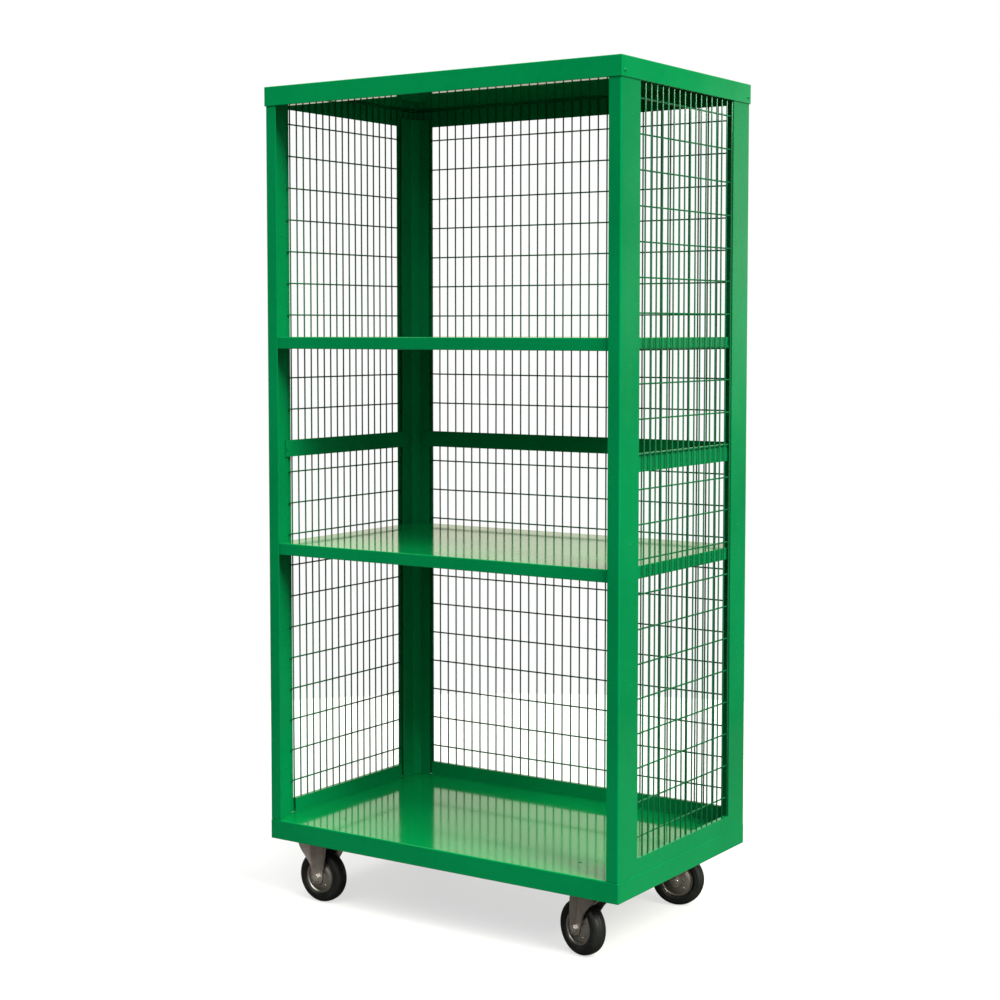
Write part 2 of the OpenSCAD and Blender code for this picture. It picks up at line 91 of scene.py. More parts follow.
def make_world():
    w = bpy.data.worlds.new("studio")
    scene.world = w
    w.use_nodes = True
    t = w.node_tree
    t.nodes.clear()
    out = t.nodes.new("ShaderNodeOutputWorld")
    tc = t.nodes.new("ShaderNodeTexCoord")
    total = None

    def lobe(direction, a, b, colour, strength):
        nonlocal total
        dot = t.nodes.new("ShaderNodeVectorMath")
        dot.operation = "DOT_PRODUCT"
        v = Vector(direction).normalized()
        dot.inputs[1].default_value = v
        link(t, tc.outputs["Generated"], dot.inputs[0])
        mr = t.nodes.new("ShaderNodeMapRange")
        mr.interpolation_type = "SMOOTHSTEP"
        mr.inputs["From Min"].default_value = a
        mr.inputs["From Max"].default_value = b
        mr.inputs["To Min"].default_value = 0.0
        mr.inputs["To Max"].default_value = strength
        link(t, dot.outputs["Value"], mr.inputs["Value"])
        sc = t.nodes.new("ShaderNodeVectorMath")
        sc.operation = "SCALE"
        sc.inputs[0].default_value = colour
        link(t, mr.outputs["Result"], sc.inputs["Scale"])
        if total is None:
            total = sc.outputs["Vector"]
        else:
            add = t.nodes.new("ShaderNodeVectorMath")
            add.operation = "ADD"
            link(t, total, add.inputs[0])
            link(t, sc.outputs["Vector"], add.inputs[1])
            total = add.outputs["Vector"]

    lobe((0, 0, 1), -2.0, -1.9, (1, 1, 1), 0.05)                     # even base
    lobe((-0.60, 0.80, 0.10), 0.45, 0.78, (1.0, 0.96, 0.78), 0.95)   # wall behind
    lobe((1.0, -0.45, 0.35), 0.25, 0.85, (1.0, 1.0, 0.97), 0.60)     # right
    lobe((0.38, 0.92, 0.05), 0.992, 0.9995, (1.0, 1.0, 0.95), 1.3)    # behind, right
    soft = t.nodes.new("ShaderNodeBackground")
    link(t, total, soft.inputs["Color"])
    white = t.nodes.new("ShaderNodeBackground")
    white.inputs["Color"].default_value = (1, 1, 1, 1)
    white.inputs["Strength"].default_value = 1.0
    lp = t.nodes.new("ShaderNodeLightPath")
    mix = t.nodes.new("ShaderNodeMixShader")
    link(t, lp.outputs["Is Camera Ray"], mix.inputs[0])
    link(t, soft.outputs[0], mix.inputs[1])
    link(t, white.outputs[0], mix.inputs[2])
    link(t, mix.outputs[0], out.inputs["Surface"])


make_world()


def sun(name, towards, strength, spread, colour=(1, 1, 1)):
    d = bpy.data.lights.new(name, "SUN")
    d.energy = strength
    d.angle = math.radians(spread)
    d.color = colour
    o = bpy.data.objects.new(name, d)
    scene.collection.objects.link(o)
    o.rotation_euler = (-Vector(towards)).to_track_quat("-Z", "Y").to_euler()
    return o


def area(name, at, aim, size, power, colour=(1, 1, 1)):
    d = bpy.data.lights.new(name, "AREA")
    d.shape = "RECTANGLE"
    d.size, d.size_y = size
    d.energy = power
    d.color = colour
    o = bpy.data.objects.new(name, d)
    o.location = at
    o.rotation_euler = (Vector(at) - Vector(aim)).to_track_quat("Z", "Y").to_euler()
    o.visible_camera = False
    scene.collection.objects.link(o)
    return o


sun("overhead", (0.16, -0.30, 1.0), 3.4, 66)
sun("right", (1.0, -0.26, 0.85), 5.4, 28, (1.0, 1.0, 0.86))
area("softbox_front", (0.7, -3.6, 3.3), (0, 0, 1.60), (2.0, 1.4), 40)


def noise(t, coord, scale, detail=3.0, rough=0.5):
    n = t.nodes.new("ShaderNodeTexNoise")
    n.inputs["Scale"].default_value = scale
    n.inputs["Detail"].default_value = detail
    n.inputs["Roughness"].default_value = rough
    link(t, coord, n.inputs["Vector"])
    return n.outputs["Fac"]


def ramp(t, fac, stops):
    r = t.nodes.new("ShaderNodeValToRGB")
    e = r.color_ramp.elements
    e[0].position, e[0].color = stops[0][0], (*stops[0][1], 1)
    e[1].position, e[1].color = stops[-1][0], (*stops[-1][1], 1)
    for p, c in stops[1:-1]:
        x = e.new(p)
        x.color = (*c, 1)
    link(t, fac, r.inputs[0])
    return r.outputs["Color"]


def value_range(t, fac, a, b, lo, hi):
    m = t.nodes.new("ShaderNodeMapRange")
    m.inputs["From Min"].default_value = a
    m.inputs["From Max"].default_value = b
    m.inputs["To Min"].default_value = lo
    m.inputs["To Max"].default_value = hi
    link(t, fac, m.inputs["Value"])
    return m.outputs["Result"]


def bump(t, height, strength, distance, normal=None):
    b = t.nodes.new("ShaderNodeBump")
    b.inputs["Strength"].default_value = strength
    b.inputs["Distance"].default_value = distance
    link(t, height, b.inputs["Height"])
    if normal is not None:
        link(t, normal, b.inputs["Normal"])
    return b.outputs["Normal"]


def base_material(name):
    m = bpy.data.materials.new(name)
    m.use_nodes = True
    t = m.node_tree
    t.nodes.clear()
    out = t.nodes.new("ShaderNodeOutputMaterial")
    p = t.nodes.new("ShaderNodeBsdfPrincipled")
    link(t, p.outputs[0], out.inputs[0])
    tc = t.nodes.new("ShaderNodeTexCoord")
    return m, t, p, tc.outputs["Object"]


def enamel(name, dark, mid, light, rough=(0.12, 0.20), level=0.35, tint=(0.0, 1.0, 0.45), peel=0.00005, wave=0.0012):
    """Stove enamel: slow change of depth, orange peel and faint dust nibs."""
    m, t, p, co = base_material(name)
    slow = noise(t, co, 2.3, 3)
    fine = noise(t, co, 55, 4)
    mixn = t.nodes.new("ShaderNodeMath")
    mixn.operation = "MULTIPLY_ADD"
    mixn.inputs[1].default_value = 0.22
    link(t, fine, mixn.inputs[0])
    link(t, slow, mixn.inputs[2])
    col = ramp(t, mixn.outputs[0], [(0.40, dark), (0.60, mid), (0.82, light)])
    link(t, col, p.inputs["Base Color"])
    smear = noise(t, co, 9, 4, 0.6)
    link(t, value_range(t, smear, 0.3, 0.7, *rough), p.inputs["Roughness"])
    n1 = bump(t, noise(t, co, 420, 2), 0.35, peel)
    n2 = bump(t, noise(t, co, 90, 2), 0.30, peel * 3, n1)
    n3 = bump(t, noise(t, co, 4.5, 2), 0.30, wave, n2)
    link(t, n3, p.inputs["Normal"])
    p.inputs["Specular Tint"].default_value = (*tint, 1)
    p.inputs["Specular IOR Level"].default_value = level
    return m


def zinc(name, lo, hi, rough=(0.28, 0.48), scratch=0.35):
    m, t, p, co = base_material(name)
    cloud = noise(t, co, 28, 5, 0.62)
    spot = noise(t, co, 260, 3, 0.6)
    add = t.nodes.new("ShaderNodeMath")
    add.operation = "MULTIPLY_ADD"
    add.inputs[1].default_value = 0.35
    link(t, spot, add.inputs[0])
    link(t, cloud, add.inputs[2])
    col = ramp(t, add.outputs[0], [(0.42, lo), (0.86, hi)])
    link(t, col, p.inputs["Base Color"])
    p.inputs["Metallic"].default_value = 0.85
    link(t, value_range(t, cloud, 0.3, 0.7, *rough), p.inputs["Roughness"])
    n = bump(t, spot, scratch, 0.00006)
    link(t, n, p.inputs["Normal"])
    return m


def rubber(name):
    m, t, p, co = base_material(name)
    cloud = noise(t, co, 35, 5, 0.6)
    grain = noise(t, co, 900, 2)
    col = ramp(t, cloud, [(0.35, (0.0035, 0.0045, 0.004)), (0.68, (0.011, 0.013, 0.011))])
    link(t, col, p.inputs["Base Color"])
    link(t, value_range(t, cloud, 0.3, 0.7, 0.42, 0.62), p.inputs["Roughness"])
    link(t, bump(t, grain, 0.3, 0.00008), p.inputs["Normal"])
    p.inputs["Specular IOR Level"].default_value = 0.35
    return m


def floor_material():
    m, t, p, co = base_material("pale_floor")
    n = noise(t, co, 0.6, 3)
    col = ramp(t, n, [(0.3, (0.30, 0.30, 0.298)), (0.7, (0.32, 0.32, 0.318))])
    lp = t.nodes.new("ShaderNodeLightPath")
    mix = t.nodes.new("ShaderNodeMix")
    mix.data_type = "RGBA"
    link(t, lp.outputs["Is Camera Ray"], mix.inputs["Factor"])
    link(t, col, [i for i in mix.inputs if i.name == "B" and i.type == "RGBA"][0])
    [i for i in mix.inputs if i.name == "A" and i.type == "RGBA"][0].default_value = (0.07, 0.07, 0.066, 1)
    link(t, [o for o in mix.outputs if o.type == "RGBA"][0], p.inputs["Base Color"])
    p.inputs["Emission Color"].default_value = (1, 1, 1, 1)
    em = t.nodes.new("ShaderNodeMath")
    em.operation = "MULTIPLY"
    em.inputs[1].default_value = 0.62
    link(t, lp.outputs["Is Camera Ray"], em.inputs[0])
    link(t, em.outputs[0], p.inputs["Emission Strength"])
    p.inputs["Roughness"].default_value = 0.75
    p.inputs["Specular IOR Level"].default_value = 0.1
    geo = t.nodes.new("ShaderNodeNewGeometry")
    clear = t.nodes.new("ShaderNodeBsdfTransparent")
    both = t.nodes.new("ShaderNodeMixShader")
    link(t, geo.outputs["Backfacing"], both.inputs[0])
    link(t, p.outputs[0], both.inputs[1])
    link(t, clear.outputs[0], both.inputs[2])
    out = [q for q in t.nodes if q.type == "OUTPUT_MATERIAL"][0]
    link(t, both.outputs[0], out.inputs[0])
    return m


bm = bmesh.new()
bmesh.ops.create_circle(bm, cap_ends=True, segments=96, radius=2.6)
me = bpy.data.meshes.new("floor")
bm.to_mesh(me)
bm.free()
floor = bpy.data.objects.new("floor", me)
scene.collection.objects.link(floor)
floor.data.materials.append(floor_material())
floor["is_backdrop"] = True

GREEN = enamel("green_enamel", (0.0004, 0.152, 0.044), (0.0006, 0.175, 0.051), (0.0008, 0.198, 0.058))
DECK = enamel("green_enamel_deck", (0.0006, 0.168, 0.040), (0.0008, 0.188, 0.045), (0.001, 0.210, 0.050),
              rough=(0.07, 0.13), level=0.6, tint=(0.45, 1.0, 0.5), peel=0.00002, wave=0.0006)
TOP = enamel("green_enamel_top", (0.0004, 0.152, 0.044), (0.0006, 0.175, 0.051), (0.0008, 0.198, 0.058),
             rough=(0.015, 0.035), level=0.45, tint=(0.1, 1.0, 0.5), peel=0.0000008, wave=0.0001)
# Lighter copy of the green enamel for the top cover's turned-down skirt: painted light, the skirt drawn brighter as if
# lit from above.
SKIRT_LIT_GREEN = enamel("green_enamel_skirt_painted_light", (0.0004, 0.178, 0.050), (0.0006, 0.204, 0.057), (0.0008, 0.228, 0.064),
              rough=(0.07, 0.13), level=0.40, tint=(0.1, 1.0, 0.5), peel=0.00002, wave=0.0018)
# Wire enamel: a darker copy of the green enamel. The darkening is painted shade, for wires that look dark where seen
# against the light.
WIRE_SHADED_GREEN = enamel("green_wire", (0.0004, 0.075, 0.025), (0.0006, 0.100, 0.031), (0.001, 0.130, 0.040),
              rough=(0.18, 0.30), level=0.5, tint=(0.8, 1.0, 0.85))
ZINC = zinc("zinc_plate", (0.30, 0.255, 0.235), (0.52, 0.455, 0.42), rough=(0.34, 0.52))
STEEL = zinc("bright_steel", (0.42, 0.41, 0.38), (0.68, 0.67, 0.63), rough=(0.14, 0.28), scratch=0.2)
RUBBER = rubber("rubber")

MATS = {"green_enamel": GREEN, "green_wire": WIRE_SHADED_GREEN, "zinc_plate": ZINC, "bright_steel": STEEL, "rubber": RUBBER}
slots = {q["node"]: q["material_slot"] for q in frame["record"]["subparts"]}
for name, o in N.items():
    o.data.materials.clear()
    o.data.materials.append(MATS[slots[name]])


def soften(name, width, segments=3, angle=30):
    """Rounds a CAD node's sheet edges without touching its own mesh."""
    o = N[name]
    d = o.modifiers.new("flat", "DECIMATE")
    d.decimate_type = "DISSOLVE"
    d.angle_limit = math.radians(0.5)
    b = o.modifiers.new("edges", "BEVEL")
    b.width = width
    b.segments = segments
    b.limit_method = "ANGLE"
    b.angle_limit = math.radians(angle)
    b.harden_normals = True
    b.use_clamp_overlap = True


for name in N:
    if name.startswith(("post_front", "post_rear", "liner", "caster_channel")):
        soften(name, 0.0005)
    elif name.startswith(("kick", "mid_rail_left", "mid_rail_right", "mid_rail_rear")):
        soften(name, 0.0007)
    elif name.startswith("swivel_plate"):
        soften(name, 0.0006)


# ------------------------------------------------------------ mesh helpers
def piece(name, bm, mat, body="root", nodes=(), angle=32):
    bmesh.ops.recalc_face_normals(bm, faces=bm.faces)
    me = bpy.data.meshes.new(name)
    bm.to_mesh(me)
    bm.free()
    me.polygons.foreach_set("use_smooth", [True] * len(me.polygons))
    me.set_sharp_from_angle(angle=math.radians(angle))
    me.materials.append(mat)
    o = bpy.data.objects.new(name, me)
    scene.collection.objects.link(o)
    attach(o, body)
    if nodes:
        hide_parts(*nodes)
    return o


def frame_of(origin, axis, up=(0, 0, 1)):
    """Matrix with its local Z along axis and its local Y towards up."""
    z = Vector(axis).normalized()
    x = Vector(up).cross(z)
    if x.length < 1e-6:
        x = Vector((1, 0, 0))
    x.normalize()
    y = z.cross(x)
    m = Matrix((x, y, z)).transposed().to_4x4()
    m.translation = Vector(origin)
    return m


def lathe(bm, profile, m, n=64, closed=True):
    """Turns (radius, height) points round local Z. closed joins the last point to the first."""
    rings = []
    for r, h in profile:
        if r < 1e-7:
            rings.append([bm.verts.new(m @ Vector((0, 0, h)))])
        else:
            rings.append([bm.verts.new(m @ Vector((r * math.cos(2 * math.pi * k / n), r * math.sin(2 * math.pi * k / n), h)))
                          for k in range(n)])
    pairs = list(zip(rings, rings[1:]))
    if closed:
        pairs.append((rings[-1], rings[0]))
    for a, b in pairs:
        for k in range(n):
            j = (k + 1) % n
            if len(a) == 1 and len(b) == 1:
                continue
            if len(a) == 1:
                bm.faces.new((a[0], b[k], b[j]))
            elif len(b) == 1:
                bm.faces.new((a[k], a[j], b[0]))
            else:
                bm.faces.new((a[k], a[j], b[j], b[k]))


def arc(cx, cy, r, a0, a1, n):
    return [(cx + r * math.cos(math.radians(a0 + (a1 - a0) * k / n)), cy + r * math.sin(math.radians(a0 + (a1 - a0) * k / n)))
            for k in range(n + 1)]


def hex_solid(bm, m, circum, height, bore=0.0, top=True, bottom=True, n=48):
    """Hexagon bar end with turned chamfers: circum is its corner radius."""
    flat = circum * math.cos(math.pi / 6)
    c = (circum - flat) * 1.15

    def radius(th, cone):
        a = (th % (math.pi / 3)) - math.pi / 6
        return min(flat / math.cos(a), cone)

    drop = c * math.tan(math.radians(30))
    levels = []
    lo_cone = [(0.0, circum - c), (drop * 0.5, circum - c * 0.5), (drop, circum)] if bottom else [(0.0, circum)]
    hi_cone = [(height - drop, circum), (height - drop * 0.5, circum - c * 0.5), (height, circum - c)] if top else [(height, circum)]
    levels = lo_cone + hi_cone
    rings = []
    for h, cone in levels:
        rings.append([bm.verts.new(m @ Vector((radius(2 * math.pi * k / n, cone) * math.cos(2 * math.pi * k / n),
                                               radius(2 * math.pi * k / n, cone) * math.sin(2 * math.pi * k / n), h)))
                      for k in range(n)])
    for a, b in zip(rings, rings[1:]):
        for k in range(n):
            j = (k + 1) % n
            bm.faces.new((a[k], a[j], b[j], b[k]))
    if bore > 0:
        ins = []
        for h, r in ((height, bore * 1.1), (height - bore * 0.1, bore), (bore * 0.1, bore), (0.0, bore * 1.1)):
            ins.append([bm.verts.new(m @ Vector((r * math.cos(2 * math.pi * k / n), r * math.sin(2 * math.pi * k / n), h)))
                        for k in range(n)])
        chain = [rings[-1]] + ins + [rings[0]]
        for a, b in zip(chain, chain[1:]):
            for k in range(n):
                j = (k + 1) % n
                bm.faces.new((a[k], a[j], b[j], b[k]))
    else:
        bm.faces.new(list(reversed(rings[0])))
        bm.faces.new(rings[-1])


def grid_solid(bm, outer, inner, m):
    """Closed sheet between two point grids of one size."""
    nv, nu = len(outer), len(outer[0])
    A = [[bm.verts.new(m @ Vector(p)) for p in row] for row in outer]
    B = [[bm.verts.new(m @ Vector(p)) for p in row] for row in inner]
    for i in range(nv - 1):
        for j in range(nu - 1):
            bm.faces.new((A[i][j], A[i][j + 1], A[i + 1][j + 1], A[i + 1][j]))
            bm.faces.new((B[i][j], B[i + 1][j], B[i + 1][j + 1], B[i][j + 1]))
    for i in range(nv - 1):
        bm.faces.new((A[i][0], A[i + 1][0], B[i + 1][0], B[i][0]))
        bm.faces.new((A[i][-1], B[i][-1], B[i + 1][-1], A[i + 1][-1]))
    for j in range(nu - 1):
        bm.faces.new((A[0][j], B[0][j], B[0][j + 1], A[0][j + 1]))
        bm.faces.new((A[-1][j], A[-1][j + 1], B[-1][j + 1], B[-1][j]))


def bevel_mod(o, width, segments=2, angle=40):
    b = o.modifiers.new("edges", "BEVEL")
    b.width = width
    b.segments = segments
    b.limit_method = "ANGLE"
    b.angle_limit = math.radians(angle)
    b.harden_normals = True
    return o


# ----------------------------------------------------------- folded sheets
def offset_polygon(poly, d):
    """Convex polygon, anticlockwise, moved inwards by d."""
    out = []
    n = len(poly)
    for i in range(n):
        p0, p1, p2 = Vector(poly[i - 1]), Vector(poly[i]), Vector(poly[(i + 1) % n])
        e1, e2 = (p1 - p0).normalized(), (p2 - p1).normalized()
        n1, n2 = Vector((-e1.y, e1.x)), Vector((-e2.y, e2.x))
        k = d / (1 + n1.dot(n2))
        out.append(p1 + (n1 + n2) * k)
    return out


def ring_points(poly, d, radius, n=5, notch=0.0, notch_at=0.0022, notch_w=0.0007):
    """Polygon moved inwards by d, each corner an arc, with an optional slot just past each corner."""
    q = offset_polygon(poly, d)
    pts = []
    c = len(q)
    for i in range(c):
        p0, p1, p2 = q[i - 1], q[i], q[(i + 1) % c]
        e1, e2 = (p1 - p0).normalized(), (p2 - p1).normalized()
        turn = math.acos(max(-1, min(1, e1.dot(e2))))
        t = radius * math.tan(turn / 2)
        a, b = p1 - e1 * t, p1 + e2 * t
        centre = a + Vector((-e1.y, e1.x)) * radius
        for k in range(n + 1):
            ang = turn * k / n
            v = a - centre
            pts.append(centre + Vector((v.x * math.cos(ang) - v.y * math.sin(ang), v.x * math.sin(ang) + v.y * math.cos(ang))))
        inward = Vector((-e2.y, e2.x))
        for u, dep in ((notch_at, 0), (notch_at + 0.00008, notch), (notch_at + notch_w, notch), (notch_at + notch_w + 0.00008, 0)):
            pts.append(b + e2 * u + inward * dep)
    return pts


def folded_tray(bm, poly, z1, depth, t, fold, flange, corner=0.0015, notch=0.0006, holes=(), flange_fold=0.0012):
    """Flat sheet at z1 with its sides turned down by depth and a return flange inwards."""
    z0 = z1 - depth
    prof = []   # (inset, z, side) from the top, down the outside, in along the flange, back up inside
    for x, y in arc(fold, z1 - fold, fold, 90, 180, 5):
        prof.append((x, y, False))
    prof = [(fold - (fold - x) if False else x, z, s) for x, z, s in prof]
    prof.append((0.0, z1 - fold - 0.0004, True))
    prof.append((0.0, z0 + flange_fold + 0.0004, True))
    for x, y in arc(flange_fold, z0 + flange_fold, flange_fold, 180, 270, 4):
        prof.append((x, y, False))
    if flange > 0:
        prof += [(t + flange, z0, False), (t + flange, z0 + t, False)]
    else:
        prof += [(t, z0, False)]
    prof += [(t, z0 + t, False)] if flange > 0 else []
    inner = max(fold - t, 0.0003)
    for x, y in arc(t + inner, z1 - t - inner, inner, 180, 90, 4):
        prof.append((x, y, False))
    rings = []
    for d, z, side in prof:
        pts = ring_points(poly, d, max(corner - d, 0.0002), notch=notch if side else 0.0)
        rings.append([bm.verts.new((p.x, p.y, z)) for p in pts])
    n = len(rings[0])
    for a, b in zip(rings, rings[1:]):
        for k in range(n):
            j = (k + 1) % n
            bm.faces.new((a[k], b[k], b[j], a[j]))
    circles = []
    for zz, ring in ((z1, rings[0]), (z1 - t, rings[-1])):
        if not holes:
            bm.faces.new(ring)
            continue
        edges = [bm.edges.get((ring[k], ring[(k + 1) % n])) for k in range(n)]
        loops = []
        for x, y, r in holes:
            vs = [bm.verts.new((x + r * math.cos(2 * math.pi * k / 24), y + r * math.sin(2 * math.pi * k / 24), zz)) for k in range(24)]
            loops.append(vs)
            edges += [bm.edges.new((vs[k], vs[(k + 1) % 24])) for k in range(24)]
        bmesh.ops.triangle_fill(bm, use_beauty=True, use_dissolve=False, edges=edges)
        circles.append(loops)
    if holes:
        for up, dn in zip(*circles):
            for k in range(24):
                j = (k + 1) % 24
                bm.faces.new((up[k], up[j], dn[j], dn[k]))


def finish_sheet(o, side_mat):
    """Flat faces stay flat; turned-down sides take side_mat, which on the top cover is a lighter enamel copy with
    painted light.
    """
    o.data.materials.append(side_mat)
    for f in o.data.polygons:
        f.material_index = 0 if abs(f.normal.z) > 0.5 else 1
    w = o.modifiers.new("flat faces", "WEIGHTED_NORMAL")
    w.mode = "FACE_AREA"
    w.weight = 100
    w.keep_sharp = True
    return o


def rectangle(x0, x1, y0, y1):
    return [(x0, y0), (x1, y0), (x1, y1), (x0, y1)]


# top cover
lo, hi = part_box("top_cover")
bm = bmesh.new()
folded_tray(bm, rectangle(lo.x, hi.x, lo.y, hi.y), hi.z, hi.z - lo.z, 0.0015, 0.0022, 0.0, corner=0.0014, notch=0.0005)
y0, y1 = lo.y + 0.0014, lo.y + 0.0195
for a, b in (((-0.446, y0, lo.z), (0.446, y1, lo.z + 0.0015)),):
    r = bmesh.ops.create_cube(bm, size=1.0)
    for v in r["verts"]:
        v.co = Vector([(a[i] + b[i]) / 2 + v.co[i] * (b[i] - a[i]) for i in range(3)])
# The cover's skirt takes the lighter enamel copy, which is painted light.
finish_sheet(piece("cover_sheet", bm, TOP, nodes=("top_cover",)), SKIRT_LIT_GREEN)

# base tray with its drain holes
lo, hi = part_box("base_tray")
bm = bmesh.new()
holes = [(sx * 0.330, sy * (hi.y - 0.093), 0.004) for sx in (-1, 1) for sy in (-1, 1)]
folded_tray(bm, rectangle(lo.x, hi.x, lo.y, hi.y), hi.z, hi.z - lo.z, 0.002, 0.0030, 0.014, corner=0.0022, notch=0.0006, holes=holes)
finish_sheet(piece("base_sheet", bm, DECK, nodes=("base_tray",)), GREEN)

# shelves, their rear corners cut to clear the rear liners
for node in ("lower_shelf", "upper_shelf"):
    lo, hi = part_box(node)
    bm = bmesh.new()
    cx, cy = 0.0112, 0.0202
    poly = [(lo.x, lo.y), (hi.x, lo.y), (hi.x, hi.y - cy), (hi.x - cx, hi.y), (lo.x + cx, hi.y), (lo.x, hi.y - cy)]
    folded_tray(bm, poly, hi.z, hi.z - lo.z, 0.0015, 0.0024, 0.012, corner=0.0010, notch=0.0)
    finish_sheet(piece(node + "_sheet", bm, DECK, nodes=(node,)), GREEN)


# -------------------------------------------------------------- wire mesh
def tube(bm, a, b, r, n=10, wob=0.0, parts=1, up=(0, 0, 1)):
    """Round wire with a little natural waver and rounded ends."""
    a, b = Vector(a), Vector(b)
    m = frame_of(a, b - a, up=up if abs((b - a).normalized().dot(Vector(up))) < 0.9 else (0, 1, 0))
    length = (b - a).length
    stops = [(0.0, 0.7), (r * 0.3, 1.0)] + [(length * k / parts, 1.0) for k in range(1, parts)] + [(length - r * 0.3, 1.0), (length, 0.7)]
    rings = []
    for s_, k_ in stops:
        dx = rng.uniform(-wob, wob) if 0.01 < s_ < length - 0.01 else 0.0
        dy = rng.uniform(-wob, wob) if 0.01 < s_ < length - 0.01 else 0.0
        rings.append([bm.verts.new(m @ Vector((dx + r * k_ * math.cos(2 * math.pi * k / n), dy + r * k_ * math.sin(2 * math.pi * k / n), s_)))
                      for k in range(n)])
    for p, q in zip(rings, rings[1:]):
        for k in range(n):
            j = (k + 1) % n
            bm.faces.new((p[k], p[j], q[j], q[k]))
    bm.faces.new(list(reversed(rings[0])))
    bm.faces.new(rings[-1])


def islands(node):
    """Boxes of the separate solids in a CAD node."""
    me = N[node].data
    parent = list(range(len(me.vertices)))

    def find(i):
        while parent[i] != i:
            parent[i] = parent[parent[i]]
            i = parent[i]
        return i

    key = {}
    for v in me.vertices:
        k = tuple(round(c * 2e5) for c in v.co)
        if k in key:
            parent[find(v.index)] = find(key[k])
        else:
            key[k] = v.index
    for e in me.edges:
        a, b = find(e.vertices[0]), find(e.vertices[1])
        if a != b:
            parent[a] = b
    groups = {}
    for v in me.vertices:
        groups.setdefault(find(v.index), []).append(v.co)
    out = []
    for pts in groups.values():
        lo_ = Vector([min(p[i] for p in pts) for i in range(3)])
        hi_ = Vector([max(p[i] for p in pts) for i in range(3)])
        out.append((lo_, hi_))
    return sorted(out, key=lambda q: tuple(round(c, 5) for c in (*q[0], *q[1])))


def wire_panel(node, thin):
    """thin is the axis that the panel is thin along."""
    bm = bmesh.new()
    ups, levels = [], []
    for lo_, hi_ in islands(node):
        size = hi_ - lo_
        c = (lo_ + hi_) / 2
        r = min(size) / 2
        if size.z > 0.2:
            ups.append((c, lo_.z, hi_.z, r))
        else:
            levels.append((c, lo_, hi_, r))
    run = 1 - thin
    ups = [(c, z0, z1, r * 1.2) for c, z0, z1, r in ups]
    levels = [(c, lo_, hi_, r * 1.2) for c, lo_, hi_, r in levels]
    for c, z0, z1, r in ups:
        tube(bm, (c.x, c.y, z0), (c.x, c.y, z1), r, wob=0.00018, parts=9)
    for c, lo_, hi_, r in levels:
        a, b = c.copy(), c.copy()
        a[run], b[run] = lo_[run], hi_[run]
        tube(bm, a, b, r, wob=0.00012, parts=6)
    for cu, z0, z1, r in ups:
        for cl, lo_, hi_, rl in levels:
            if not (z0 < cl.z < z1 and lo_[run] < cu[run] < hi_[run]):
                continue
            p = Vector((0, 0, cl.z))
            p[run] = cu[run]
            p[thin] = (cu[thin] + cl[thin]) / 2
            scale = Vector((0, 0, r * 1.25))
            scale[run] = r * 1.25
            scale[thin] = r * 0.75
            g = bmesh.ops.create_icosphere(bm, subdivisions=1, radius=1.0)
            for v in g["verts"]:
                v.co = Vector([p[i] + v.co[i] * scale[i] for i in range(3)])
    return piece(node + "_wires", bm, WIRE_SHADED_GREEN, nodes=(node,), angle=60)


wire_panel("mesh_left", 0)
wire_panel("mesh_right", 0)
wire_panel("mesh_rear", 1)

# ------------------------------------------------------------- fasteners
# low rivet heads, painted over, on the posts' faces, and their formed ends
bm = bmesh.new()
for lo_, hi_ in islands("post_rivets"):
    c = (lo_ + hi_) / 2
    size = hi_ - lo_
    ax = max(range(3), key=lambda i: size[i])
    out = Vector((0, 0, 0))
    out[ax] = math.copysign(1.0, c[ax])
    face = hi_[ax] if out[ax] > 0 else lo_[ax]
    base = c.copy()
    base[ax] = face - out[ax] * 0.0012
    m = frame_of(base, out)
    lathe(bm, [(0.0, 0.0007), (0.0012, 0.00062), (0.0021, 0.00042), (0.0028, 0.0001), (0.0029, -0.0002), (0.0, -0.0002)], m, n=20, closed=False)
    end = c.copy()
    end[ax] = lo_[ax] if out[ax] > 0 else hi_[ax]
    m = frame_of(end, -out)
    lathe(bm, [(0.0, 0.0), (0.0012, -0.0001), (0.0026, -0.0004), (0.0034, -0.0009), (0.0035, -0.0014), (0.0023, -0.0014), (0.0023, -0.009), (0.0, -0.009)], m, n=20, closed=False)
piece("rivet_heads", bm, GREEN, nodes=("post_rivets",))

# cover screws: pan heads with a cross recess
bm = bmesh.new()
for lo_, hi_ in islands("cover_screws"):
    c = (lo_ + hi_) / 2
    sx = math.copysign(1.0, c.x)
    face = hi_.x if sx > 0 else lo_.x
    m = frame_of((face - sx * 0.002, c.y, c.z), (sx, 0, 0))
    head = [(0.0016, 0.0002), (0.0017, 0.0018), (0.0024, 0.00175), (0.0033, 0.0013), (0.0039, 0.0005), (0.0040, 0.0), (0.0024, 0.0), (0.0022, -0.006), (0.0, -0.0072)]
    lathe(bm, [(0.0, 0.0002)] + head, m, n=24, closed=False)
piece("cover_screw_heads", bm, GREEN, nodes=("cover_screws",))


def bolt_set(name, node, mat, axis, slot, nut=False, circum=None, bore=0.0):
    bm = bmesh.new()
    for lo_, hi_ in islands(node):
        c = (lo_ + hi_) / 2
        size = hi_ - lo_
        if nut:
            m = frame_of((c.x, c.y, lo_.z), (0, 0, 1))
            hex_solid(bm, m, circum, size.z, bore=bore)
    return piece(name, bm, mat, nodes=(node,))


